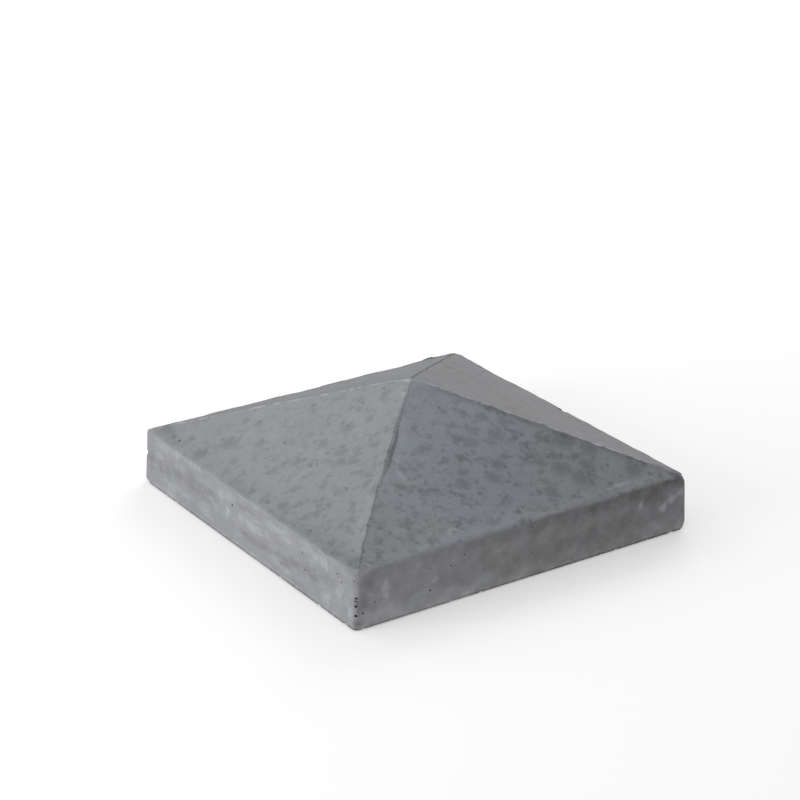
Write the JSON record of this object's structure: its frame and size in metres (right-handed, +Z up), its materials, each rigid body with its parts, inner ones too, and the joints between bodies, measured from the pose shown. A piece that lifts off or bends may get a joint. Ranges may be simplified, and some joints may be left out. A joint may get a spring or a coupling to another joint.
{
  "type": "pier cap",
  "caption": "Square concrete pier cap with a drafted rim, slopes rising all round to a point and a drip groove beneath; it crowns a masonry pier and sheds rain.",
  "frame": {"origin": "centre of the bed, the flat underside that rests on the pier", "axes": "+Z up through the point, +X and +Y square to the sides of the rim"},
  "size_m": [0.3998, 0.3998, 0.1398],
  "materials": {
    "concrete": "matte cast concrete with air pits and mottling"
  },
  "bodies": {
    "root": {"pier_cap": "concrete"}
  },
  "joints": []
}
